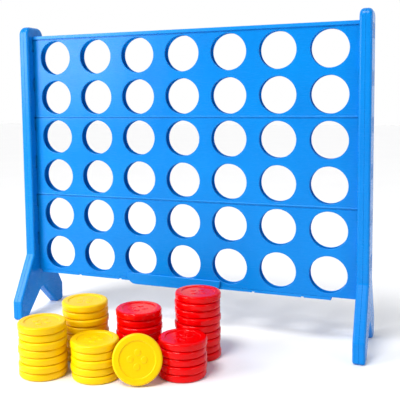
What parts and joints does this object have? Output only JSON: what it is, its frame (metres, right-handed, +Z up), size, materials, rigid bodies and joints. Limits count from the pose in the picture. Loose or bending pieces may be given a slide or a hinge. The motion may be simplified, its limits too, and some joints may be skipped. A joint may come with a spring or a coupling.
{
  "type": "giant four in a row game",
  "caption": "Free-standing lawn game: upright grid of round windows between two splayed stands, a sliding release bar at the bottom, and stacks of two-colour discs.",
  "frame": {"origin": "on the ground, at the middle of the whole set's plan", "axes": "+X along the board to the right as seen from the disc side, +Y from the discs towards the board, +Z up"},
  "size_m": [1.194, 0.697, 1.024],
  "materials": {
    "blue_plastic": "glossy moulded plastic",
    "yellow_plastic": "satin moulded plastic",
    "red_plastic": "glossy moulded plastic",
    "screw_steel": "zinc plated"
  },
  "bodies": {
    "stand": {"bottom_front_panel": "blue_plastic", "bottom_back_panel": "blue_plastic", "middle_front_panel": "blue_plastic", "middle_back_panel": "blue_plastic", "top_front_panel": "blue_plastic", "top_back_panel": "blue_plastic", "left_stand_inner_half": "blue_plastic", "left_stand_outer_half": "blue_plastic", "right_stand_inner_half": "blue_plastic", "right_stand_outer_half": "blue_plastic"},
    "release": {"release_bar_left": "blue_plastic", "release_bar_right": "blue_plastic", "release_handle": "blue_plastic", "handle_screw_1": "screw_steel", "handle_screw_2": "screw_steel", "handle_screw_3": "screw_steel", "handle_screw_4": "screw_steel"},
    "yellow_disc_01": {"yellow_disc_01": "yellow_plastic"},
    "yellow_disc_02": {"yellow_disc_02": "yellow_plastic"},
    "yellow_disc_03": {"yellow_disc_03": "yellow_plastic"},
    "yellow_disc_04": {"yellow_disc_04": "yellow_plastic"},
    "yellow_disc_05": {"yellow_disc_05": "yellow_plastic"},
    "yellow_disc_06": {"yellow_disc_06": "yellow_plastic"},
    "yellow_disc_07": {"yellow_disc_07": "yellow_plastic"},
    "yellow_disc_08": {"yellow_disc_08": "yellow_plastic"},
    "yellow_disc_09": {"yellow_disc_09": "yellow_plastic"},
    "yellow_disc_10": {"yellow_disc_10": "yellow_plastic"},
    "yellow_disc_11": {"yellow_disc_11": "yellow_plastic"},
    "yellow_disc_12": {"yellow_disc_12": "yellow_plastic"},
    "yellow_disc_13": {"yellow_disc_13": "yellow_plastic"},
    "yellow_disc_14": {"yellow_disc_14": "yellow_plastic"},
    "yellow_disc_15": {"yellow_disc_15": "yellow_plastic"},
    "yellow_disc_16": {"yellow_disc_16": "yellow_plastic"},
    "yellow_disc_17": {"yellow_disc_17": "yellow_plastic"},
    "yellow_disc_18": {"yellow_disc_18": "yellow_plastic"},
    "yellow_disc_19": {"yellow_disc_19": "yellow_plastic"},
    "yellow_disc_20": {"yellow_disc_20": "yellow_plastic"},
    "red_disc_01": {"red_disc_01": "red_plastic"},
    "red_disc_02": {"red_disc_02": "red_plastic"},
    "red_disc_03": {"red_disc_03": "red_plastic"},
    "red_disc_04": {"red_disc_04": "red_plastic"},
    "red_disc_05": {"red_disc_05": "red_plastic"},
    "red_disc_06": {"red_disc_06": "red_plastic"},
    "red_disc_07": {"red_disc_07": "red_plastic"},
    "red_disc_08": {"red_disc_08": "red_plastic"},
    "red_disc_09": {"red_disc_09": "red_plastic"},
    "red_disc_10": {"red_disc_10": "red_plastic"},
    "red_disc_11": {"red_disc_11": "red_plastic"},
    "red_disc_12": {"red_disc_12": "red_plastic"},
    "red_disc_13": {"red_disc_13": "red_plastic"},
    "red_disc_14": {"red_disc_14": "red_plastic"},
    "red_disc_15": {"red_disc_15": "red_plastic"},
    "red_disc_16": {"red_disc_16": "red_plastic"},
    "red_disc_17": {"red_disc_17": "red_plastic"},
    "red_disc_18": {"red_disc_18": "red_plastic"},
    "red_disc_19": {"red_disc_19": "red_plastic"},
    "red_disc_20": {"red_disc_20": "red_plastic"},
    "red_disc_21": {"red_disc_21": "red_plastic"},
    "yellow_disc_21": {"yellow_disc_21": "yellow_plastic"}
  },
  "joints": [
    {"name": "release_slide", "type": "slide", "parent": "stand", "child": "release", "axis": [1, 0, 0], "range_m": [0, 0.078]},
    {"name": "yellow_disc_01_lift", "type": "slide", "parent": "stand", "child": "yellow_disc_01", "axis": [0, 0, 1], "range_m": [0, 0.03]},
    {"name": "yellow_disc_02_lift", "type": "slide", "parent": "yellow_disc_01", "child": "yellow_disc_02", "axis": [0, 0, 1], "range_m": [0, 0.03]},
    {"name": "yellow_disc_03_lift", "type": "slide", "parent": "yellow_disc_02", "child": "yellow_disc_03", "axis": [0, 0, 1], "range_m": [0, 0.03]},
    {"name": "yellow_disc_04_lift", "type": "slide", "parent": "yellow_disc_03", "child": "yellow_disc_04", "axis": [0, 0, 1], "range_m": [0, 0.03]},
    {"name": "yellow_disc_05_lift", "type": "slide", "parent": "yellow_disc_04", "child": "yellow_disc_05", "axis": [0, 0, 1], "range_m": [0, 0.03]},
    {"name": "yellow_disc_06_lift", "type": "slide", "parent": "yellow_disc_05", "child": "yellow_disc_06", "axis": [0, 0, 1], "range_m": [0, 0.03]},
    {"name": "yellow_disc_07_lift", "type": "slide", "parent": "yellow_disc_06", "child": "yellow_disc_07", "axis": [0, 0, 1], "range_m": [0, 0.03]},
    {"name": "yellow_disc_08_lift", "type": "slide", "parent": "stand", "child": "yellow_disc_08", "axis": [0, 0, 1], "range_m": [0, 0.03]},
    {"name": "yellow_disc_09_lift", "type": "slide", "parent": "yellow_disc_08", "child": "yellow_disc_09", "axis": [0, 0, 1], "range_m": [0, 0.03]},
    {"name": "yellow_disc_10_lift", "type": "slide", "parent": "yellow_disc_09", "child": "yellow_disc_10", "axis": [0, 0, 1], "range_m": [0, 0.03]},
    {"name": "yellow_disc_11_lift", "type": "slide", "parent": "yellow_disc_10", "child": "yellow_disc_11", "axis": [0, 0, 1], "range_m": [0, 0.03]},
    {"name": "yellow_disc_12_lift", "type": "slide", "parent": "yellow_disc_11", "child": "yellow_disc_12", "axis": [0, 0, 1], "range_m": [0, 0.03]},
    {"name": "yellow_disc_13_lift", "type": "slide", "parent": "yellow_disc_12", "child": "yellow_disc_13", "axis": [0, 0, 1], "range_m": [0, 0.03]},
    {"name": "yellow_disc_14_lift", "type": "slide", "parent": "yellow_disc_13", "child": "yellow_disc_14", "axis": [0, 0, 1], "range_m": [0, 0.03]},
    {"name": "yellow_disc_15_lift", "type": "slide", "parent": "yellow_disc_14", "child": "yellow_disc_15", "axis": [0, 0, 1], "range_m": [0, 0.03]},
    {"name": "yellow_disc_16_lift", "type": "slide", "parent": "stand", "child": "yellow_disc_16", "axis": [0, 0, 1], "range_m": [0, 0.03]},
    {"name": "yellow_disc_17_lift", "type": "slide", "parent": "yellow_disc_16", "child": "yellow_disc_17", "axis": [0, 0, 1], "range_m": [0, 0.03]},
    {"name": "yellow_disc_18_lift", "type": "slide", "parent": "yellow_disc_17", "child": "yellow_disc_18", "axis": [0, 0, 1], "range_m": [0, 0.03]},
    {"name": "yellow_disc_19_lift", "type": "slide", "parent": "yellow_disc_18", "child": "yellow_disc_19", "axis": [0, 0, 1], "range_m": [0, 0.03]},
    {"name": "yellow_disc_20_lift", "type": "slide", "parent": "yellow_disc_19", "child": "yellow_disc_20", "axis": [0, 0, 1], "range_m": [0, 0.03]},
    {"name": "red_disc_01_lift", "type": "slide", "parent": "stand", "child": "red_disc_01", "axis": [0, 0, 1], "range_m": [0, 0.03]},
    {"name": "red_disc_02_lift", "type": "slide", "parent": "red_disc_01", "child": "red_disc_02", "axis": [0, 0, 1], "range_m": [0, 0.03]},
    {"name": "red_disc_03_lift", "type": "slide", "parent": "red_disc_02", "child": "red_disc_03", "axis": [0, 0, 1], "range_m": [0, 0.03]},
    {"name": "red_disc_04_lift", "type": "slide", "parent": "red_disc_03", "child": "red_disc_04", "axis": [0, 0, 1], "range_m": [0, 0.03]},
    {"name": "red_disc_05_lift", "type": "slide", "parent": "red_disc_04", "child": "red_disc_05", "axis": [0, 0, 1], "range_m": [0, 0.03]},
    {"name": "red_disc_06_lift", "type": "slide", "parent": "red_disc_05", "child": "red_disc_06", "axis": [0, 0, 1], "range_m": [0, 0.03]},
    {"name": "red_disc_07_lift", "type": "slide", "parent": "red_disc_06", "child": "red_disc_07", "axis": [0, 0, 1], "range_m": [0, 0.03]},
    {"name": "red_disc_08_lift", "type": "slide", "parent": "stand", "child": "red_disc_08", "axis": [0, 0, 1], "range_m": [0, 0.03]},
    {"name": "red_disc_09_lift", "type": "slide", "parent": "red_disc_08", "child": "red_disc_09", "axis": [0, 0, 1], "range_m": [0, 0.03]},
    {"name": "red_disc_10_lift", "type": "slide", "parent": "red_disc_09", "child": "red_disc_10", "axis": [0, 0, 1], "range_m": [0, 0.03]},
    {"name": "red_disc_11_lift", "type": "slide", "parent": "red_disc_10", "child": "red_disc_11", "axis": [0, 0, 1], "range_m": [0, 0.03]},
    {"name": "red_disc_12_lift", "type": "slide", "parent": "red_disc_11", "child": "red_disc_12", "axis": [0, 0, 1], "range_m": [0, 0.03]},
    {"name": "red_disc_13_lift", "type": "slide", "parent": "red_disc_12", "child": "red_disc_13", "axis": [0, 0, 1], "range_m": [0, 0.03]},
    {"name": "red_disc_14_lift", "type": "slide", "parent": "red_disc_13", "child": "red_disc_14", "axis": [0, 0, 1], "range_m": [0, 0.03]},
    {"name": "red_disc_15_lift", "type": "slide", "parent": "red_disc_14", "child": "red_disc_15", "axis": [0, 0, 1], "range_m": [0, 0.03]},
    {"name": "red_disc_16_lift", "type": "slide", "parent": "red_disc_15", "child": "red_disc_16", "axis": [0, 0, 1], "range_m": [0, 0.03]},
    {"name": "red_disc_17_lift", "type": "slide", "parent": "stand", "child": "red_disc_17", "axis": [0, 0, 1], "range_m": [0, 0.03]},
    {"name": "red_disc_18_lift", "type": "slide", "parent": "red_disc_17", "child": "red_disc_18", "axis": [0, 0, 1], "range_m": [0, 0.03]},
    {"name": "red_disc_19_lift", "type": "slide", "parent": "red_disc_18", "child": "red_disc_19", "axis": [0, 0, 1], "range_m": [0, 0.03]},
    {"name": "red_disc_20_lift", "type": "slide", "parent": "red_disc_19", "child": "red_disc_20", "axis": [0, 0, 1], "range_m": [0, 0.03]},
    {"name": "red_disc_21_lift", "type": "slide", "parent": "red_disc_20", "child": "red_disc_21", "axis": [0, 0, 1], "range_m": [0, 0.03]},
    {"name": "yellow_disc_21_lift", "type": "slide", "parent": "stand", "child": "yellow_disc_21", "axis": [0, 0, 1], "range_m": [0, 0.15]}
  ]
}
